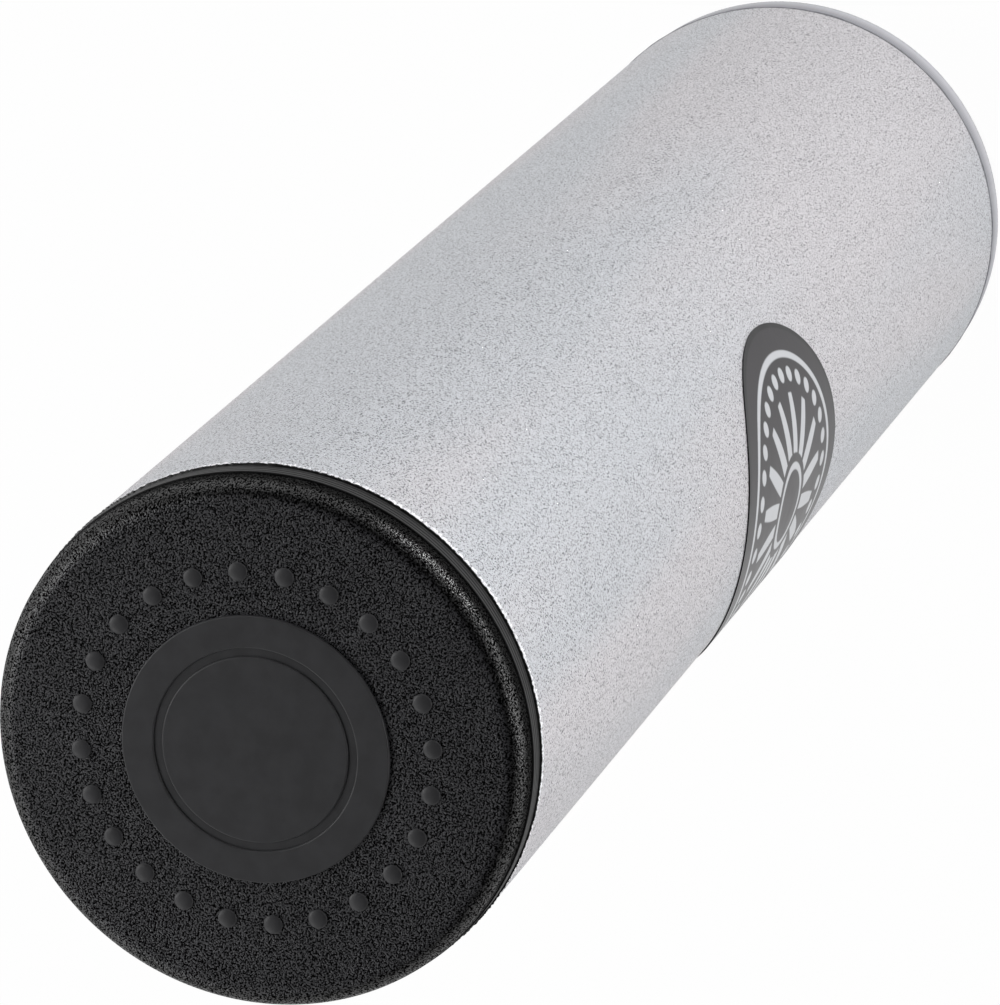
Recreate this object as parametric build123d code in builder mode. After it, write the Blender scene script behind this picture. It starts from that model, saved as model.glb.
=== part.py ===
# A ganza shaker standing on its rear cap: a coated tube closed by two glued
# plug caps, a round badge wrapped on its side, and loose steel shot inside.
# Millimetres, +Z up. The origin is the centre of the rear cap's outer face.
import os
from math import asin, cos, floor, pi, sin, tau

from build123d import *

# Tube
tube_diameter = 50
tube_wall = 1.5
tube_length = 194
tube_edge_break = 0.3

# End caps: a rounded grained rim, a smooth band, and a plug inside the tube.
# The rear cap's rim is rounded less and runs flush into its band.
front_rim_rounding = 2
front_rim_inset = 0.25
rear_rim_rounding = 1.5
rim_height = 2.9
band_height = 2
band_inset = 0.1
end_wall = 2.5
plug_length = 12
plug_wall = 2
plug_clearance = 0.3
plug_lead_in = 0.8
plug_inner_rounding = 1
crush_rib_height = 0.2
crush_rib_count = 12

# Smooth raised figure on the front cap: a roundel inside a circle of studs
roundel_diameter = 25
roundel_height = 0.4
roundel_edge_break = 0.15
roundel_groove_diameter = 19
roundel_groove_width = 0.8
roundel_groove_depth = 0.2
stud_diameter = 1.8
stud_height = 0.3
stud_circle_diameter = 33
stud_count = 24

# Glue squeezed out between cap and tube
glue_thickness = 0.2
glue_stand_out = 0.1

# Badge: a round film sticker on its adhesive
badge_diameter = 38.5
badge_thickness = 0.1
badge_adhesive = 0.05
badge_above_middle = 1.8
badge_outline_points = 32

# Shot: layers of concentric rings of balls lying in the rear cap
shot_rings = 4
shot_layers = 4
shot_gap = 0.4
shot_ring_gap = 0.7
shot_wall_gap = 0.4
shot_seat_gap = 0.3

cut_overrun = 1

tube_radius = tube_diameter / 2
bore_radius = tube_radius - tube_wall
band_radius = tube_radius - band_inset
cap_height = rim_height + band_height
plug_radius = bore_radius - plug_clearance
chamber_radius = plug_radius - plug_wall

tube_base = cap_height + glue_thickness
tube_top = tube_base + tube_length
front_face_height = tube_top + tube_base

rear_face = Plane.XY
front_face = Plane(origin=(0, 0, front_face_height), x_dir=(1, 0, 0), z_dir=(0, 0, -1))


def cap_blank(face, rim_radius, rim_rounding):
    # The face's normal points from the cap's outer face into the tube
    inwards = Axis(face.origin, face.z_dir)
    with BuildPart() as blank:
        with BuildSketch(face):
            Circle(rim_radius)
        extrude(amount=rim_height)
        fillet(blank.edges().group_by(inwards)[0], rim_rounding)
        with BuildSketch(face.offset(rim_height)):
            Circle(band_radius)
        extrude(amount=band_height)
        with BuildSketch(face.offset(cap_height)):
            Circle(plug_radius)
        extrude(amount=plug_length)
        chamfer(blank.edges().group_by(inwards)[-1], plug_lead_in)
        with BuildSketch(face.offset(cap_height)):
            with PolarLocations(plug_radius, crush_rib_count):
                Circle(crush_rib_height)
        extrude(amount=plug_length - plug_lead_in)
        with BuildSketch(face.offset(end_wall)):
            Circle(chamber_radius)
        extrude(amount=cap_height + plug_length - end_wall + cut_overrun, mode=Mode.SUBTRACT)
        fillet(blank.edges(Select.LAST).group_by(inwards)[0], plug_inner_rounding)
    return blank.part


with BuildPart() as rear_cap:
    add(cap_blank(rear_face, band_radius, rear_rim_rounding))

with BuildPart() as front_cap:
    add(cap_blank(front_face, tube_radius - front_rim_inset, front_rim_rounding))
    with BuildSketch(front_face):
        Circle(roundel_diameter / 2)
    extrude(amount=-roundel_height)
    chamfer(front_cap.faces().sort_by(Axis.Z)[-1].edges(), roundel_edge_break)
    with BuildSketch(front_face.offset(-roundel_height)):
        Circle(roundel_groove_diameter / 2)
        Circle(roundel_groove_diameter / 2 - roundel_groove_width, mode=Mode.SUBTRACT)
    extrude(amount=roundel_groove_depth, mode=Mode.SUBTRACT)
    with BuildSketch(front_face):
        with PolarLocations(stud_circle_diameter / 2, stud_count):
            Circle(stud_diameter / 2)
    extrude(amount=-stud_height)

with BuildPart() as tube:
    with BuildSketch(Plane.XY.offset(tube_base)):
        Circle(tube_radius)
        Circle(bore_radius, mode=Mode.SUBTRACT)
    extrude(amount=tube_length)
    chamfer(tube.edges().filter_by(GeomType.CIRCLE), tube_edge_break)


def glue_ring(base_height):
    with BuildPart() as ring:
        with BuildSketch(Plane.XY.offset(base_height)):
            Circle(tube_radius + glue_stand_out)
            Circle(bore_radius, mode=Mode.SUBTRACT)
        extrude(amount=glue_thickness)
    return ring.part


with BuildPart() as rear_glue_bead:
    add(glue_ring(cap_height))

with BuildPart() as front_glue_bead:
    add(glue_ring(tube_top))

# The badge lies round the tube, so its outline is a circle on the tube's surface
badge_inner_radius = tube_radius + badge_adhesive
badge_outer_radius = badge_inner_radius + badge_thickness
badge_height = (tube_base + tube_top) / 2 + badge_above_middle
badge_outline = []
for step in range(badge_outline_points):
    turn = tau * step / badge_outline_points
    round_tube = badge_diameter / 2 * cos(turn)
    up_tube = badge_diameter / 2 * sin(turn)
    badge_outline.append((badge_outer_radius * sin(round_tube / badge_outer_radius), up_tube))

with BuildPart() as badge:
    with BuildSketch(Plane.XY.offset(badge_height - badge_diameter)):
        Circle(badge_outer_radius)
        Circle(badge_inner_radius, mode=Mode.SUBTRACT)
    extrude(amount=2 * badge_diameter)
    with BuildSketch(Plane.XZ.shift_origin((0, 0, badge_height))):
        with BuildLine():
            Spline(badge_outline, periodic=True)
        make_face()
    extrude(amount=badge_outer_radius + cut_overrun, mode=Mode.INTERSECT)

pieces = {
    "rear_cap": rear_cap,
    "front_cap": front_cap,
    "tube": tube,
    "rear_glue_bead": rear_glue_bead,
    "front_glue_bead": front_glue_bead,
    "badge": badge,
}

# The rings of shot round the middle ball reach the hollow's wall: balls 4 mm across
shot_radius = (chamber_radius - shot_wall_gap - shot_rings * shot_ring_gap) / (2 * shot_rings + 1)
shot_pitch = 2 * shot_radius + shot_gap
ring_pitch = 2 * shot_radius + shot_ring_gap
for layer in range(shot_layers):
    ball_height = end_wall + shot_seat_gap + shot_radius + layer * shot_pitch
    with BuildPart(Plane.XY.offset(ball_height)) as shot_core:
        Sphere(shot_radius)
    pieces[f"shot_core_layer_{layer + 1}"] = shot_core
    for ring in range(1, shot_rings + 1):
        ring_radius = ring * ring_pitch
        ball_count = floor(pi / asin(shot_pitch / 2 / ring_radius))
        with BuildPart(Plane.XY.offset(ball_height)) as shot_ring:
            with PolarLocations(ring_radius, ball_count, start_angle=180 / ball_count * layer):
                Sphere(shot_radius)
        pieces[f"shot_ring_{ring}_layer_{layer + 1}"] = shot_ring

os.makedirs("parts", exist_ok=True)
for name, piece in pieces.items():
    piece.part.label = name
    export_step(piece.part, f"parts/{name}.step")

shot_travel = front_face_height - end_wall - shot_seat_gap - (ball_height + shot_radius)
print("overall height", front_face_height + roundel_height)
print("shot diameter", 2 * shot_radius, "travel", shot_travel)
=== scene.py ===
import random
from math import cos, pi, radians, sin, tau

import bmesh
import bpy
from mathutils import Euler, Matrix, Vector, noise


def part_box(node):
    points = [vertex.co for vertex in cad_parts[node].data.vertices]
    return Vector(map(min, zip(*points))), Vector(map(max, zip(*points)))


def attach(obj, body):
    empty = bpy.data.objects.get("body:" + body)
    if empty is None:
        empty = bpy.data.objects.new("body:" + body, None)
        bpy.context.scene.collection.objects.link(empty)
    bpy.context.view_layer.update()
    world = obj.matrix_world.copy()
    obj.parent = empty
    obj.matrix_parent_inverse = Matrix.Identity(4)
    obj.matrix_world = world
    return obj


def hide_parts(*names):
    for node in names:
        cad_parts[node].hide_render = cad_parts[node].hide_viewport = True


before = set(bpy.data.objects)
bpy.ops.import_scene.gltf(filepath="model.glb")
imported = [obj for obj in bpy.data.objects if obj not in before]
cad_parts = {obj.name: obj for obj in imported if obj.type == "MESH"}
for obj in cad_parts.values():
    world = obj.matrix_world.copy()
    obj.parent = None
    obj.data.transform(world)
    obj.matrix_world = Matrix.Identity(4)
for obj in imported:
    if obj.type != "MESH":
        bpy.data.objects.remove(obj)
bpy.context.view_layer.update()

mm = 0.001


def reach(node):
    low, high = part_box(node)
    return {"low": low[2], "high": high[2], "radius": high[0], "front": -low[1]}


tubeBox = reach("tube")
rearCapBox = reach("rear_cap")
frontCapBox = reach("front_cap")
rearGlueBox = reach("rear_glue_bead")
frontGlueBox = reach("front_glue_bead")
badgeBox = reach("badge")

# the front cap's roundel stands this far above its grained face
roundelHeight = 0.4 * mm
frontFace = frontCapBox["high"] - roundelHeight


# Shader maths

class Value:
    # a node's output, on which + - * / and the rest add Math nodes

    def __init__(self, graph, socket):
        self.graph = graph
        self.socket = socket

    def math(self, operation, *others):
        inputs = dict(enumerate([self, *others]))
        return self.graph.add("ShaderNodeMath", {"operation": operation}, inputs)

    def __add__(self, other):
        return self.math("ADD", other)

    def __sub__(self, other):
        return self.math("SUBTRACT", other)

    def __rsub__(self, other):
        return self.graph.add("ShaderNodeMath", {"operation": "SUBTRACT"}, {0: other, 1: self})

    def __mul__(self, other):
        return self.math("MULTIPLY", other)

    def __truediv__(self, other):
        return self.math("DIVIDE", other)

    def between(self, first, last):
        # first where this is 0, last where it is 1
        return self * (last - first) + first

    def rise(self, low, high):
        # 0 below low, 1 above high, smooth between; the other way round if low is above high
        settings = {"interpolation_type": "SMOOTHSTEP", "clamp": True}
        inputs = {"Value": self, "From Min": low, "From Max": high}
        return self.graph.add("ShaderNodeMapRange", settings, inputs)

    def within(self, middle, halfWidth, softness):
        away = (self - middle).math("ABSOLUTE")
        return away.rise(halfWidth + softness, halfWidth - softness)


class Graph:
    def __init__(self, name):
        self.material = bpy.data.materials.new(name)
        self.material.use_nodes = True
        self.nodes = self.material.node_tree.nodes
        self.links = self.material.node_tree.links
        self.nodes.clear()
        self.output = self.nodes.new("ShaderNodeOutputMaterial")

    def add(self, kind, settings=None, inputs=None, output=0):
        node = self.nodes.new(kind)
        for name, value in (settings or {}).items():
            setattr(node, name, value)
        for place, value in (inputs or {}).items():
            socket = node.inputs[place]
            if isinstance(value, Value):
                self.links.new(value.socket, socket)
            else:
                socket.default_value = value
        return Value(self, node.outputs[output])

    def mix(self, share, first, second):
        inputs = {"Factor": share, 6: first, 7: second}
        return self.add("ShaderNodeMix", {"data_type": "RGBA"}, inputs, output=2)

    def place(self):
        return self.add("ShaderNodeTexCoord", output="Object")

    def axes(self, vector):
        inputs = {0: vector}
        return [self.add("ShaderNodeSeparateXYZ", inputs=inputs, output=name) for name in "XYZ"]

    def stretched(self, vector, scale):
        return self.add("ShaderNodeVectorMath", {"operation": "MULTIPLY"}, {0: vector, 1: scale})

    def noise(self, vector, size, detail, roughness=0.5):
        inputs = {"Vector": vector, "Scale": 1 / size, "Detail": detail, "Roughness": roughness}
        return self.add("ShaderNodeTexNoise", inputs=inputs)

    def cellColours(self, vector, size):
        inputs = {"Vector": vector, "Scale": 1 / size}
        return self.add("ShaderNodeTexVoronoi", inputs=inputs, output="Color")

    def bump(self, height, depth, normal=None):
        inputs = {"Height": height, "Distance": depth, "Strength": 1.0}
        if normal:
            inputs["Normal"] = normal
        return self.add("ShaderNodeBump", inputs=inputs)

    def principled(self, inputs):
        return self.add("ShaderNodeBsdfPrincipled", inputs=inputs)

    def blend(self, share, first, second):
        return self.add("ShaderNodeMixShader", inputs={0: share, 1: first, 2: second})

    def finish(self, shader):
        self.links.new(shader.socket, self.output.inputs["Surface"])
        return self.material


def grey(level, blue=0.0):
    return (level, level, level + blue, 1.0)


# Materials

coat = {
    "cool": (0.52, 0.535, 0.565, 1.0),
    "warm": (0.57, 0.553, 0.575, 1.0),
    "pitShade": (0.07, 0.07, 0.08, 1.0),
    "fleck": (0.95, 0.95, 0.97, 1.0),
    "grainSize": 0.17 * mm,
    "grainShadeRise": (0.50, 0.34),
    "grainShadeShare": 0.45,
    "grainDepth": 0.09 * mm,
    "peelSize": 0.8 * mm,
    "peelDepth": 0.03 * mm,
    "pitSize": 0.19 * mm,
    "pitRise": (0.57, 0.64),
    "pitShadeShare": 0.9,
    "pitRelief": 0.7,
    "fleckSize": 0.13 * mm,
    "fleckRise": (0.990, 0.996),
    "fleckShare": 0.8,
    "reflectionStreakSize": 16 * mm,
    "reflectionStreakStretch": (1, 1, 0.15),
    "reflectionStreakRise": (0.35, 0.65),
    # plain coat first, fleck second
    "metallic": (0.35, 0.85),
    "roughness": (0.46, 0.24),
}


def coatMaterial():
    # coarse powder coat: orange peel, fine grain, pits and a few bright flakes; random cool and
    # warm streaks along the tube are painted reflection, and the darker colour in the grain's
    # hollows and in the pits is painted shade
    g = Graph("silverCoat")
    place = g.place()
    grains = g.noise(place, coat["grainSize"], detail=3.0, roughness=0.6)
    peel = g.noise(place, coat["peelSize"], detail=1.0)
    pits = g.noise(place, coat["pitSize"], detail=1.0).rise(*coat["pitRise"])
    flecks = g.axes(g.cellColours(place, coat["fleckSize"]))[0].rise(*coat["fleckRise"])
    # painted reflection: cool and warm streaks drawn out along the tube at random
    drawn = g.stretched(place, coat["reflectionStreakStretch"])
    reflectionStreaks = g.noise(drawn, coat["reflectionStreakSize"], detail=1.0).rise(*coat["reflectionStreakRise"])
    streakedCoat = g.mix(reflectionStreaks, coat["cool"], coat["warm"])
    # painted shade: the colour darkens where the grain is low and in the pits, on top of their
    # real relief
    hollowShaded = g.mix(grains.rise(*coat["grainShadeRise"]) * coat["grainShadeShare"], streakedCoat, coat["pitShade"])
    pitShaded = g.mix(pits * coat["pitShadeShare"], hollowShaded, coat["pitShade"])
    height = grains - pits * coat["pitRelief"]
    return g.finish(g.principled({
        "Base Color": g.mix(flecks * coat["fleckShare"], pitShaded, coat["fleck"]),
        "Metallic": flecks.between(*coat["metallic"]),
        "Roughness": flecks.between(*coat["roughness"]),
        "Normal": g.bump(peel, coat["peelDepth"], g.bump(height, coat["grainDepth"])),
    }))


grain = {
    "size": 0.17 * mm,
    "depth": 0.065 * mm,
    "ridgeRise": (0.39, 0.61),
    "pitRoughness": 0.6,
    "ridgeRoughness": (0.28, 0.32),
    "wearSize": 9 * mm,
    "wearRise": (0.35, 0.75),
    "wearLight": (0.85, 1.0),
    # painted shade: the rim's colour darkens from where it turns away from the face, and on its
    # flank the glossy ridges give way to the dark, glossless pit shade
    "turn": (0.01 * mm, 0.22 * mm),
    "rimShadeShare": 0.92,
    "flankShade": (1.0 * mm, 1.7 * mm),
    "flankShadeShare": 0.8,
}


def grainedMaterial(name, dark, light, gloss, faceHeight=None):
    # leather grain on moulded plastic: fine glossy ridges round small dull pits, whose dark colour
    # is painted shade
    g = Graph(name)
    place = g.place()
    relief = g.noise(place, grain["size"], detail=1.0)
    ridges = relief.rise(*grain["ridgeRise"])
    wear = g.noise(place, grain["wearSize"], detail=3.0).rise(*grain["wearRise"])
    normal = g.bump(relief, grain["depth"])
    share = wear.between(*grain["wearLight"])
    if faceHeight is not None:
        # painted shade: over the rim the colour darkens and the gloss gives way to the dark pit
        # shade
        depth = faceHeight - g.axes(place)[2]
        share = share * (1 - depth.rise(*grain["turn"]) * grain["rimShadeShare"])
        ridges = ridges * (1 - depth.rise(*grain["flankShade"]) * grain["flankShadeShare"])
    # painted shade: the pits are dark and have no gloss
    pitShade = g.principled({
        "Base Color": dark,
        "Roughness": grain["pitRoughness"],
        "Specular IOR Level": 0.0,
        "Normal": normal,
    })
    ridge = g.principled({
        "Base Color": g.mix(share, dark, light),
        "Roughness": wear.between(*grain["ridgeRoughness"]),
        "Specular IOR Level": gloss,
        "Normal": normal,
    })
    return g.finish(g.blend(ridges, pitShade, ridge))


satin = {
    "rubSize": 2.2 * mm,
    "rubStretch": (1, 1, 6),
    "rubRise": (0.3, 0.7),
    "fineSize": 0.12 * mm,
    "fineShare": 0.4,
    "depth": 0.012 * mm,
    "roughness": (0.40, 0.54),
    "lineGap": 0.52 * mm,
    "lineWander": 3.0,
    "lineRelief": 2.0,
    "lineLight": (0.5, 1.0),
    "seamShade": (0.5 * mm, 3.2 * mm),
    "seamShadeLevels": (0.75, 1.0),
}


def satinMaterial(name, dark, light, gloss, lined=False, seamHeight=None):
    # smooth moulded surface with faint rubs, and fine lines round a band, with painted shade
    # darkening it towards its seam
    g = Graph(name)
    place = g.place()
    along = g.axes(place)[2]
    drawn = g.stretched(place, satin["rubStretch"])
    rubs = g.noise(drawn, satin["rubSize"], detail=4.0, roughness=0.6)
    fine = g.noise(place, satin["fineSize"], detail=2.0)
    height = fine * satin["fineShare"] + rubs * (1 - satin["fineShare"])
    share = rubs.rise(*satin["rubRise"])
    if lined:
        wander = rubs * satin["lineWander"]
        lines = (along * (tau / satin["lineGap"]) + wander).math("SINE")
        height = height + lines * satin["lineRelief"]
        share = share * lines.between(*satin["lineLight"])
    if seamHeight is not None:
        # painted shade: the band darkens towards its seam with the tube
        seamShadeMask = (seamHeight - along).rise(*satin["seamShade"])
        share = seamShadeMask * share.between(*satin["seamShadeLevels"])
    return g.finish(g.principled({
        "Base Color": g.mix(share, dark, light),
        "Roughness": rubs.between(*satin["roughness"]),
        "Specular IOR Level": gloss,
        "Normal": g.bump(height, satin["depth"]),
    }))


glue = {
    "size": 0.5 * mm,
    "detail": 3.0,
    "fineness": 0.5,
    "rise": (0.3, 0.7),
    "metallic": 0.0,
    "roughness": (0.22, 0.47),
    "depth": 0.08 * mm,
}

# the burr is a real bead of coat, but its near-white colour is a painted highlight along the
# tube's front edge
glintedBurr = {
    "dark": (0.62, 0.62, 0.64, 1.0),
    "light": (0.88, 0.88, 0.90, 1.0),
    "size": 0.3 * mm,
    "detail": 3.0,
    "fineness": 0.5,
    "rise": (0.3, 0.7),
    "metallic": 0.2,
    "roughness": (0.3, 0.5),
    "depth": 0.06 * mm,
}

steel = {
    "dark": (0.66, 0.66, 0.68, 1.0),
    "light": (0.45, 0.45, 0.46, 1.0),
    "size": 0.7 * mm,
    "detail": 5.0,
    "fineness": 0.65,
    "rise": (0.35, 0.7),
    "metallic": 1.0,
    "roughness": (0.16, 0.41),
    "depth": 0.01 * mm,
}


def lumpyMaterial(name, look, dark, light):
    # one noise for colour, gloss and relief
    g = Graph(name)
    lumps = g.noise(g.place(), look["size"], look["detail"], look["fineness"])
    return g.finish(g.principled({
        "Base Color": g.mix(lumps.rise(*look["rise"]), dark, light),
        "Metallic": look["metallic"],
        "Roughness": lumps.between(*look["roughness"]),
        "Normal": g.bump(lumps, look["depth"]),
    }))


bore = {
    "dark": (0.60, 0.60, 0.62, 1.0),
    "light": (0.78, 0.78, 0.80, 1.0),
    "streakSize": 0.4 * mm,
    "streakStretch": (1, 1, 0.02),
    "roughness": (0.3, 0.55),
    "depth": 0.01 * mm,
}


def boreMaterial():
    # drawn aluminium, with lines along the tube
    g = Graph("bareBore")
    drawn = g.stretched(g.place(), bore["streakStretch"])
    streaks = g.noise(drawn, bore["streakSize"], detail=4.0)
    return g.finish(g.principled({
        "Base Color": g.mix(streaks, bore["dark"], bore["light"]),
        "Metallic": 1.0,
        "Roughness": streaks.between(*bore["roughness"]),
        "Normal": g.bump(streaks, bore["depth"]),
    }))


badgePrint = {
    "film": (0.022, 0.020, 0.023, 1.0),
    "filmDark": (0.015, 0.0135, 0.016, 1.0),
    "ink": (0.46, 0.47, 0.49, 1.0),
    "inkMetallic": 0.35,
    "rim": (0.006, 0.006, 0.007, 1.0),
    "gloss": 0.12,
    "roughness": (0.26, 0.38),
    "rubSize": 3 * mm,
    "rubRise": (0.3, 0.7),
    "rubDepth": 0.01 * mm,
    # shares of the badge's radius
    "rimRise": (0.965, 0.975),
    "soft": 0.006,
    "ringShares": (0.82, 0.22),
    "ringWidthShare": 0.020,
    "rayShares": (0.29, 0.61),
    "beadShare": 0.71,
    "beadWidthShare": 0.042,
    "beadCount": 32,
    "rayCount": 16,
    # shares of the turn from one ray to the next, half a ray's width at its inner and outer end
    "rayHalves": (0.36, 0.12),
    "raySoft": 0.03,
}


def badgeMaterial():
    # UV runs from 0 to 1 over the flat disc, so the print follows the film round the tube
    g = Graph("badgeFilm")
    u, v, _ = g.axes(g.add("ShaderNodeUVMap", {"uv_map": "flat"}))
    across = u * 2 - 1
    up = v * 2 - 1
    radius = (across * across + up * up).math("SQRT")
    turn = up.math("ARCTAN2", across)
    soft = badgePrint["soft"]

    ringWidth = badgePrint["ringWidthShare"]
    rings = [radius.within(share, ringWidth, soft) for share in badgePrint["ringShares"]]

    inner, outer = badgePrint["rayShares"]
    rayAway = ((turn * (badgePrint["rayCount"] / tau)).math("FRACT") - 0.5).math("ABSOLUTE")
    rayHalf = ((radius - inner) / (outer - inner)).between(*badgePrint["rayHalves"])
    rays = (rayAway - rayHalf).rise(badgePrint["raySoft"], -badgePrint["raySoft"])
    rays = rays * radius.within((inner + outer) / 2, (outer - inner) / 2, soft)

    beadShare = badgePrint["beadShare"]
    beadTurn = (turn * (badgePrint["beadCount"] / tau)).math("FRACT") - 0.5
    beadAcross = beadTurn * (tau / badgePrint["beadCount"]) * beadShare
    beadUp = radius - beadShare
    beadRadius = (beadAcross * beadAcross + beadUp * beadUp).math("SQRT")
    beadWidth = badgePrint["beadWidthShare"]
    beads = beadRadius.rise(beadWidth + soft, beadWidth - soft)

    ink = rings[0]
    for form in (rings[1], rays, beads):
        ink = ink.math("MAXIMUM", form)
    rubs = g.noise(g.place(), badgePrint["rubSize"], detail=4.0, roughness=0.6)
    film = g.mix(rubs.rise(*badgePrint["rubRise"]), badgePrint["filmDark"], badgePrint["film"])
    printed = g.mix(ink, film, badgePrint["ink"])
    return g.finish(g.principled({
        "Base Color": g.mix(radius.rise(*badgePrint["rimRise"]), printed, badgePrint["rim"]),
        "Metallic": ink * badgePrint["inkMetallic"],
        "Roughness": rubs.between(*badgePrint["roughness"]),
        "Specular IOR Level": badgePrint["gloss"],
        "Normal": g.bump(rubs, badgePrint["rubDepth"]),
    }))


silverCoat = coatMaterial()
# the dark colour of blackGrain and greyGrain is painted shade in the grain's pits, and on the
# front cap's rim also painted shade over the rim
blackGrain = grainedMaterial(
    "blackGrain", grey(0.0005), grey(0.058, 0.005), gloss=0.6, faceHeight=frontFace
)
blackSatin = satinMaterial("blackSatin", grey(0.028, 0.002), grey(0.035, 0.003), gloss=0.4)
blackBand = satinMaterial("blackBand", grey(0.003), grey(0.014, 0.001), gloss=0.16, lined=True)
greyGrain = grainedMaterial("greyGrain", grey(0.24, 0.015), grey(0.43, 0.025), gloss=0.4)
greyBand = satinMaterial(
    "greyBand",
    grey(0.22, 0.02),
    grey(0.44, 0.03),
    gloss=0.4,
    lined=True,
    seamHeight=rearGlueBox["low"],
)
blackGlue = lumpyMaterial("blackGlue", glue, grey(0.004), grey(0.012))
greyGlue = lumpyMaterial("greyGlue", glue, grey(0.22, 0.02), grey(0.30, 0.02))
glintedCoatBurr = lumpyMaterial("glintedCoatBurr", glintedBurr, glintedBurr["dark"], glintedBurr["light"])
bareBore = boreMaterial()
tumbledSteel = lumpyMaterial("tumbledSteel", steel, steel["dark"], steel["light"])
badgeFilm = badgeMaterial()
print("materials made")


# Mesh helpers

meshing = {
    "mergeDistance": 0.001 * mm,
    "circleTolerance": 0.005 * mm,
    "sharpAngle": 40,
}


def spun(profile, steps, closed=False):
    bm = bmesh.new()
    points = [bm.verts.new((r, 0, z)) for r, z in profile]
    runs = list(zip(points, points[1:]))
    if closed:
        runs.append((points[-1], points[0]))
    edges = [bm.edges.new(run) for run in runs]
    bmesh.ops.spin(
        bm,
        geom=points + edges,
        cent=(0, 0, 0),
        axis=(0, 0, 1),
        angle=tau,
        steps=steps,
        use_merge=True,
    )
    bmesh.ops.remove_doubles(bm, verts=bm.verts, dist=meshing["mergeDistance"])
    bmesh.ops.recalc_face_normals(bm, faces=bm.faces)
    return bm


def ringEdges(bm, radius, height):
    # the edges of one circle of a spun shape
    tolerance = meshing["circleTolerance"]

    def near(vert):
        off = (vert.co.xy.length - radius, vert.co.z - height)
        return all(abs(gap) < tolerance for gap in off)

    return [edge for edge in bm.edges if all(near(vert) for vert in edge.verts)]


def rounded(bm, circles, offset, segments):
    edges = [edge for radius, height in circles for edge in ringEdges(bm, radius, height)]
    bmesh.ops.bevel(
        bm,
        geom=edges,
        offset=offset,
        segments=segments,
        profile=0.5,
        affect="EDGES",
        material=-1,
    )


def placed(name, data):
    made = bpy.data.objects.new(name, data)
    bpy.context.scene.collection.objects.link(made)
    return made


def piece(name, bm, materials, body, nodes):
    mesh = bpy.data.meshes.new(name)
    bm.to_mesh(mesh)
    bm.free()
    for material in materials:
        mesh.materials.append(material)
    mesh.shade_smooth()
    mesh.set_sharp_from_angle(angle=radians(meshing["sharpAngle"]))
    made = placed(name, mesh)
    flats = made.modifiers.new("flats", "WEIGHTED_NORMAL")
    flats.keep_sharp = True
    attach(made, body)
    if nodes:
        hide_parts(*nodes)


# Tube

tube = {
    "steps": 256,
    "wall": 1.5 * mm,
    "edgeRounding": 0.3 * mm,
    "edgeSegments": 4,
}


def makeTube():
    outer = tubeBox["radius"]
    inner = outer - tube["wall"]
    low = tubeBox["low"]
    high = tubeBox["high"]
    corners = [(outer, low), (outer, high), (inner, high), (inner, low)]
    bm = spun(corners, tube["steps"], closed=True)
    rounded(bm, corners, tube["edgeRounding"], tube["edgeSegments"])
    for face in bm.faces:
        inside = face.calc_center_median().xy.length < outer - tube["wall"] / 2
        face.material_index = 1 if inside else 0
    piece("tubeShell", bm, [silverCoat, bareBore], "shell", ["tube"])


makeTube()
print("tube made")


# End caps

cap = {
    "steps": 256,
    "frontRounding": 2 * mm,
    "frontStep": 0.15 * mm,
    "rearRounding": 1.5 * mm,
    "rimSegments": 12,
    "rimHeight": 2.9 * mm,
    "bandHeight": 2 * mm,
    "bandRounding": 0.12 * mm,
    "bandSegments": 3,
    "endWall": 2.5 * mm,
    "plugRadius": 23.2 * mm,
    "plugWall": 2 * mm,
    "plugLength": 12 * mm,
    "plugLead": 0.8 * mm,
    "leadSegments": 2,
    "roundelRadius": 12.5 * mm,
    "roundelRounding": 0.14 * mm,
    "roundelSegments": 3,
    "grooveRadius": 9.5 * mm,
    "grooveWidth": 0.8 * mm,
    "grooveDepth": 0.2 * mm,
    "studRadius": 0.9 * mm,
    "studHeight": 0.3 * mm,
    "studCircle": 16.5 * mm,
    "studCount": 24,
    "studSegments": 20,
    "studRings": 10,
    "faceTolerance": 0.01 * mm,
}


def capProfile(rimRadius, bandRadius, figure):
    # heights are measured from the outer face into the tube
    face = [(0, 0)]
    if figure:
        top = -roundelHeight
        groove = cap["grooveRadius"]
        face = [
            (0, top),
            (groove - cap["grooveWidth"], top),
            (groove - cap["grooveWidth"], top + cap["grooveDepth"]),
            (groove, top + cap["grooveDepth"]),
            (groove, top),
            (cap["roundelRadius"], top),
            (cap["roundelRadius"], 0),
        ]
    step = []
    if bandRadius > rimRadius:
        step = [(rimRadius, cap["rimHeight"]), (bandRadius, cap["rimHeight"])]
    bottom = cap["rimHeight"] + cap["bandHeight"]
    end = bottom + cap["plugLength"]
    hollow = cap["plugRadius"] - cap["plugWall"]
    return face + [(rimRadius, 0)] + step + [
        (bandRadius, bottom),
        (cap["plugRadius"], bottom),
        (cap["plugRadius"], end),
        (hollow, end),
        (hollow, cap["endWall"]),
        (0, cap["endWall"]),
    ]


def capFinish(radius, depth, figure):
    # 0 is the grained rim and face, 1 the band and plug, 2 the smooth roundel and studs
    slack = cap["faceTolerance"]
    if depth > cap["rimHeight"] - slack:
        return 1
    onRoundel = figure and radius < cap["roundelRadius"] and depth < slack
    if depth < -slack or onRoundel:
        return 2
    return 0


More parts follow.
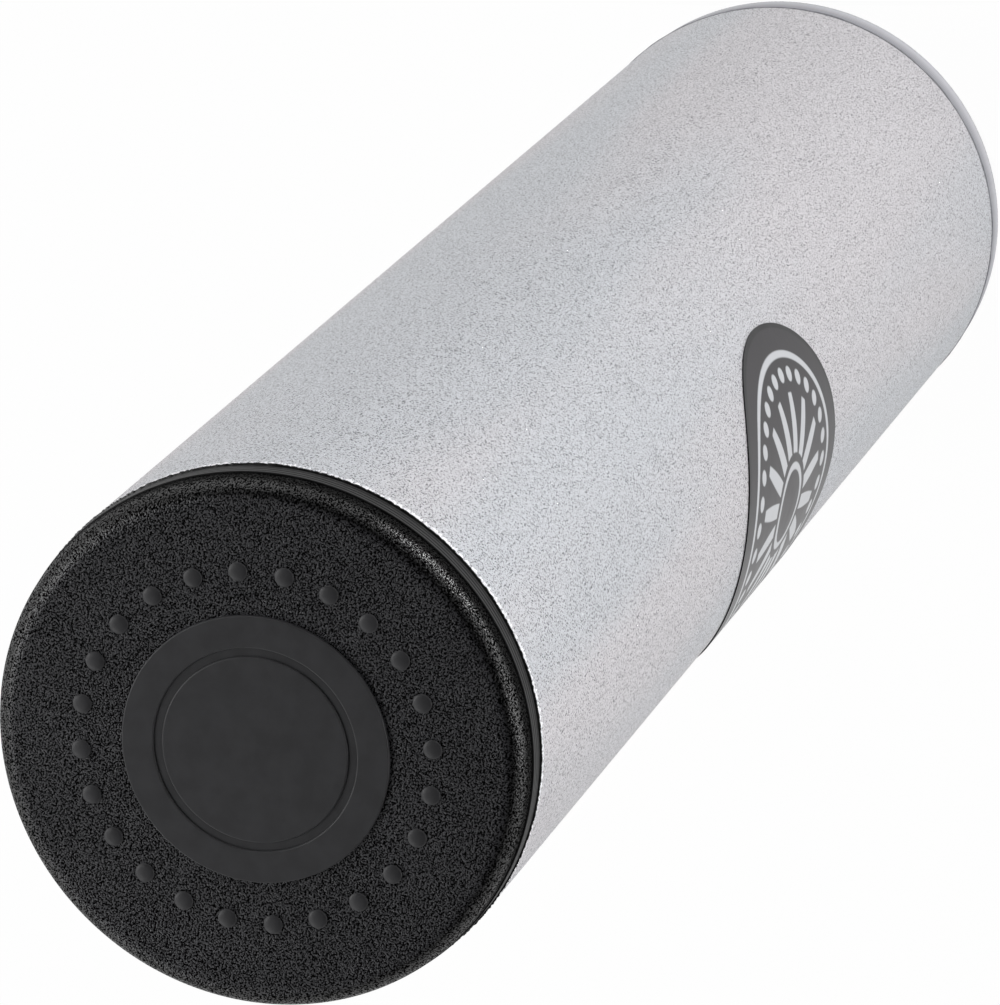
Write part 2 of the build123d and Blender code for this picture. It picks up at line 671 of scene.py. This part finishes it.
def makeCap(name, node, faceHeight, inwards, figure, rounding, step, materials):
    bandRadius = reach(node)["radius"]
    rimRadius = bandRadius - step
    profile = [(r, faceHeight + inwards * z) for r, z in capProfile(rimRadius, bandRadius, figure)]
    bm = spun(profile, cap["steps"])
    rimEnd = faceHeight + inwards * cap["rimHeight"]
    bandEnd = rimEnd + inwards * cap["bandHeight"]
    plugEnd = bandEnd + inwards * cap["plugLength"]
    rounded(bm, [(rimRadius, faceHeight)], rounding, cap["rimSegments"])
    bandCorners = [(bandRadius, bandEnd)]
    if step:
        bandCorners.append((bandRadius, rimEnd))
    rounded(bm, bandCorners, cap["bandRounding"], cap["bandSegments"])
    rounded(bm, [(cap["plugRadius"], plugEnd)], cap["plugLead"], cap["leadSegments"])
    if figure:
        top = faceHeight - inwards * roundelHeight
        groove = cap["grooveRadius"]
        radii = (cap["roundelRadius"], groove, groove - cap["grooveWidth"])
        corners = [(radius, top) for radius in radii]
        rounded(bm, corners, cap["roundelRounding"], cap["roundelSegments"])
        addStuds(bm, faceHeight, -inwards)
    for face in bm.faces:
        middle = face.calc_center_median()
        depth = (middle.z - faceHeight) * inwards
        face.material_index = capFinish(middle.xy.length, depth, figure)
    piece(name, bm, materials, "shell", [node])


def addStuds(bm, faceHeight, outwards):
    # low smooth domes in a circle round the roundel, sunk a little into the face
    sink = cap["studHeight"] / 4
    flatten = (cap["studHeight"] + sink) / 2 / cap["studRadius"]
    height = faceHeight + outwards * (cap["studHeight"] - sink) / 2
    for number in range(cap["studCount"]):
        turn = tau * number / cap["studCount"]
        made = bmesh.ops.create_uvsphere(
            bm,
            u_segments=cap["studSegments"],
            v_segments=cap["studRings"],
            radius=cap["studRadius"],
        )
        bmesh.ops.scale(bm, vec=(1, 1, flatten), verts=made["verts"])
        at = Vector((cap["studCircle"] * cos(turn), cap["studCircle"] * sin(turn), height))
        bmesh.ops.translate(bm, vec=at, verts=made["verts"])


makeCap(
    "frontCap",
    "front_cap",
    faceHeight=frontFace,
    inwards=-1,
    figure=True,
    rounding=cap["frontRounding"],
    step=cap["frontStep"],
    materials=[blackGrain, blackBand, blackSatin],
)
makeCap(
    "rearCap",
    "rear_cap",
    faceHeight=rearCapBox["low"],
    inwards=1,
    figure=False,
    rounding=cap["rearRounding"],
    step=0,
    materials=[greyGrain, greyBand, greyBand],
)
print("caps made")


# Glue beads and the coat's burr at the tube's edge

bead = {
    "sides": 8,
    "depth": 1.2 * mm,
    "frontLap": 0.06 * mm,
    "rearLap": 0.05 * mm,
    # from the tube's front edge back, and from its surface in and out
    "burrLow": 0.65 * mm,
    "burrHigh": 0.05 * mm,
    "burrIn": 0.30 * mm,
    "burrOut": 0.08 * mm,
    "nubSpread": 0.010,
    # exponent, lacunarity and octaves
    "fractal": (0.6, 2.2, 4),
    # middle and swing
    "back": (0.5, 0.9),
    "creep": (0.4, 1.1),
    "creepScale": 1.3,
    # steps round, size of the ruggedness, draw-back, spread onto the tube, nubs, seed
    "frontGlue": (1440, 0.32 * mm, 0.09 * mm, 0.50 * mm, 7, 5),
    "rearGlue": (360, 4.0 * mm, 0.07 * mm, 0.04 * mm, 0, 8),
    "frontBurr": (1440, 0.30 * mm, 0.10 * mm, 0.40 * mm, 0, 13),
}


def rugged(spot, middle, swing):
    return min(max(middle + noise.fractal(spot, *bead["fractal"]) * swing, 0), 1)


def ruggedRing(name, low, high, inner, outer, toTube, material, nodes):
    # a thin ring that draws back and spreads onto the tube at random, with a few nubs
    steps, size, drawBack, spread, nubCount, seed = bead[name]
    draw = random.Random(seed)
    turns = [draw.uniform(-pi, pi) for _ in range(nubCount)]
    nubs = [Vector((cos(turn), sin(turn), 0)) for turn in turns]
    middle = (low + high) / 2
    halves = ((outer - inner) / 2, (high - low) / 2)
    profile = []
    for k in range(bead["sides"]):
        turn = tau * k / bead["sides"]
        profile.append((inner + halves[0] * (1 + cos(turn)), middle + halves[1] * sin(turn)))
    bm = spun(profile, steps, closed=True)
    for vert in bm.verts:
        out = Vector((vert.co.x, vert.co.y, 0)).normalized()
        spot = out * (outer / size) + Vector((0, 0, seed))
        back = rugged(spot, *bead["back"])
        creep = rugged(spot * bead["creepScale"], *bead["creep"])
        for nub in nubs:
            away = (nub - out).length / bead["nubSpread"]
            if away < 1:
                back *= away
                creep = max(creep, 1 - away)
        share = (vert.co.xy.length - inner) / (outer - inner)
        side = max((vert.co.z - middle) * toTube / halves[1], 0)
        vert.co -= out * (back * drawBack * share)
        vert.co.z += toTube * creep * spread * side
    bmesh.ops.recalc_face_normals(bm, faces=bm.faces)
    piece(name, bm, [material], "shell", nodes)


def makeBeads():
    inner = tubeBox["radius"] - bead["depth"]
    ruggedRing(
        "frontGlue",
        low=frontGlueBox["low"] - bead["frontLap"],
        high=frontGlueBox["high"],
        inner=inner,
        outer=frontGlueBox["radius"],
        toTube=-1,
        material=blackGlue,
        nodes=["front_glue_bead"],
    )
    ruggedRing(
        "rearGlue",
        low=rearGlueBox["low"],
        high=rearGlueBox["high"] + bead["rearLap"],
        inner=inner,
        outer=rearGlueBox["radius"],
        toTube=1,
        material=greyGlue,
        nodes=["rear_glue_bead"],
    )
    ruggedRing(
        "frontBurr",
        low=tubeBox["high"] - bead["burrLow"],
        high=tubeBox["high"] - bead["burrHigh"],
        inner=tubeBox["radius"] - bead["burrIn"],
        outer=tubeBox["radius"] + bead["burrOut"],
        toTube=-1,
        material=glintedCoatBurr,
        nodes=[],
    )


makeBeads()
print("glue beads and burr made")


# Badge

badge = {
    "steps": 128,
    "rings": 24,
    "thickness": 0.1 * mm,
    "edgeRounding": 0.04 * mm,
    "edgeSegments": 3,
}


def makeBadge():
    # spun flat, given its flat UVs, then bent round the tube
    radius = (badgeBox["high"] - badgeBox["low"]) / 2
    outer = badgeBox["front"]
    thickness = badge["thickness"]
    rings = badge["rings"]
    profile = [(0, 0), (radius, 0)]
    for k in range(rings + 1):
        profile.append((radius * (1 - k / rings), thickness))
    bm = spun(profile, badge["steps"])
    rounded(bm, [(radius, thickness)], badge["edgeRounding"], badge["edgeSegments"])
    flat = bm.loops.layers.uv.new("flat")
    for face in bm.faces:
        for loop in face.loops:
            spot = loop.vert.co
            loop[flat].uv = (spot.x / radius / 2 + 0.5, spot.y / radius / 2 + 0.5)
    middle = (badgeBox["low"] + badgeBox["high"]) / 2
    for vert in bm.verts:
        turn = vert.co.x / outer
        out = outer - thickness + vert.co.z
        vert.co = Vector((out * sin(turn), -out * cos(turn), middle + vert.co.y))
    bmesh.ops.recalc_face_normals(bm, faces=bm.faces)
    piece("badgeDisc", bm, [badgeFilm], "shell", ["badge"])


makeBadge()
print("badge made")

for name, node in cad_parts.items():
    if name.startswith("shot_"):
        for place in node.material_slots:
            place.material = tumbledSteel
print("shot finished")


# Floor, lights and camera

studio = {
    "floorSize": 6.0,
    "floorGap": 0.02 * mm,
    "floorColour": (0.95, 0.95, 0.95, 1.0),
    "whiteShare": 0.975,
    "horizonLevel": 1.2,
    "zenithLevel": 0.02,
    "horizonTop": 0.25,
    "zenithStart": 0.50,
    "lampDistance": 0.9,
    "lamps": {
        # degrees round the tube from +X, degrees up, size in metres, watts
        "key": (-24, 30, 0.22, 0.4),
        "rim": (-34, -3, 0.14, 5.0),
        "tubeSide": (32, 12, 0.3, 0.6),
        "badgeSide": (-80, 8, 0.3, 2.2),
        "behindLeft": (149, 40, 0.4, 1.3),
        "behindTop": (95, 40, 0.5, 3.2),
    },
}

view = {
    "offset": (222.7 * mm, -142.0 * mm, 550.6 * mm),
    "belowFace": 1.3 * mm,
    "angles": (-16.618, 15.800, -80.146),
    "lens": 244.98,
    "clip": (0.01, 50),
}


def whiteMaterial():
    # a white that the camera sees as it is, with part of the object's shadow left on it
    g = Graph("whiteFloor")
    seen = g.add("ShaderNodeLightPath", output="Is Camera Ray")
    for ray in ("Is Glossy Ray", "Is Transmission Ray"):
        seen = seen.math("MAXIMUM", g.add("ShaderNodeLightPath", output=ray))
    plain = g.add("ShaderNodeBsdfDiffuse", inputs={"Color": studio["floorColour"]})
    glow = g.add("ShaderNodeEmission", inputs={"Color": grey(1.0), "Strength": 1.0})
    return g.finish(g.blend(seen * studio["whiteShare"], plain, glow))


def makeFloor():
    bm = bmesh.new()
    bmesh.ops.create_grid(bm, x_segments=1, y_segments=1, size=studio["floorSize"] / 2)
    height = rearCapBox["low"] - studio["floorGap"]
    bmesh.ops.translate(bm, vec=(0, 0, height), verts=bm.verts)
    mesh = bpy.data.meshes.new("floor")
    bm.to_mesh(mesh)
    bm.free()
    mesh.materials.append(whiteMaterial())
    placed("floor", mesh)


def makeWorld():
    # a bright horizon under a dark ceiling
    world = bpy.data.worlds.new("softRoom")
    world.use_nodes = True
    nodes = world.node_tree.nodes
    links = world.node_tree.links
    background = nodes["Background"]
    background.inputs["Color"].default_value = grey(1.0)
    where = nodes.new("ShaderNodeTexCoord")
    parts = nodes.new("ShaderNodeSeparateXYZ")
    room = nodes.new("ShaderNodeMapRange")
    room.interpolation_type = "SMOOTHSTEP"
    room.inputs["From Min"].default_value = studio["horizonTop"]
    room.inputs["From Max"].default_value = studio["zenithStart"]
    room.inputs["To Min"].default_value = studio["horizonLevel"]
    room.inputs["To Max"].default_value = studio["zenithLevel"]
    links.new(where.outputs["Generated"], parts.inputs[0])
    links.new(parts.outputs["Z"], room.inputs["Value"])
    links.new(room.outputs[0], background.inputs["Strength"])
    bpy.context.scene.world = world


def makeCamera():
    data = bpy.data.cameras.new("camera")
    data.lens = view["lens"]
    data.clip_start, data.clip_end = view["clip"]
    camera = placed("camera", data)
    camera.location = Vector(view["offset"]) + Vector((0, 0, frontFace - view["belowFace"]))
    camera.rotation_euler = Euler([radians(angle) for angle in view["angles"]])
    bpy.context.scene.camera = camera


def makeLamps():
    middle = Vector((0, 0, (tubeBox["low"] + tubeBox["high"]) / 2))
    for name, (turn, climb, size, power) in studio["lamps"].items():
        data = bpy.data.lights.new(name, "AREA")
        data.shape = "DISK"
        data.size = size
        data.energy = power
        lamp = placed(name, data)
        level = cos(radians(climb))
        away = Vector((
            level * cos(radians(turn)),
            level * sin(radians(turn)),
            sin(radians(climb)),
        ))
        lamp.location = middle + away * studio["lampDistance"]
        lamp.rotation_euler = away.to_track_quat("Z", "Y").to_euler()


makeFloor()
makeWorld()
makeLamps()
makeCamera()
bpy.context.scene.view_settings.view_transform = "Standard"
print("studio made")
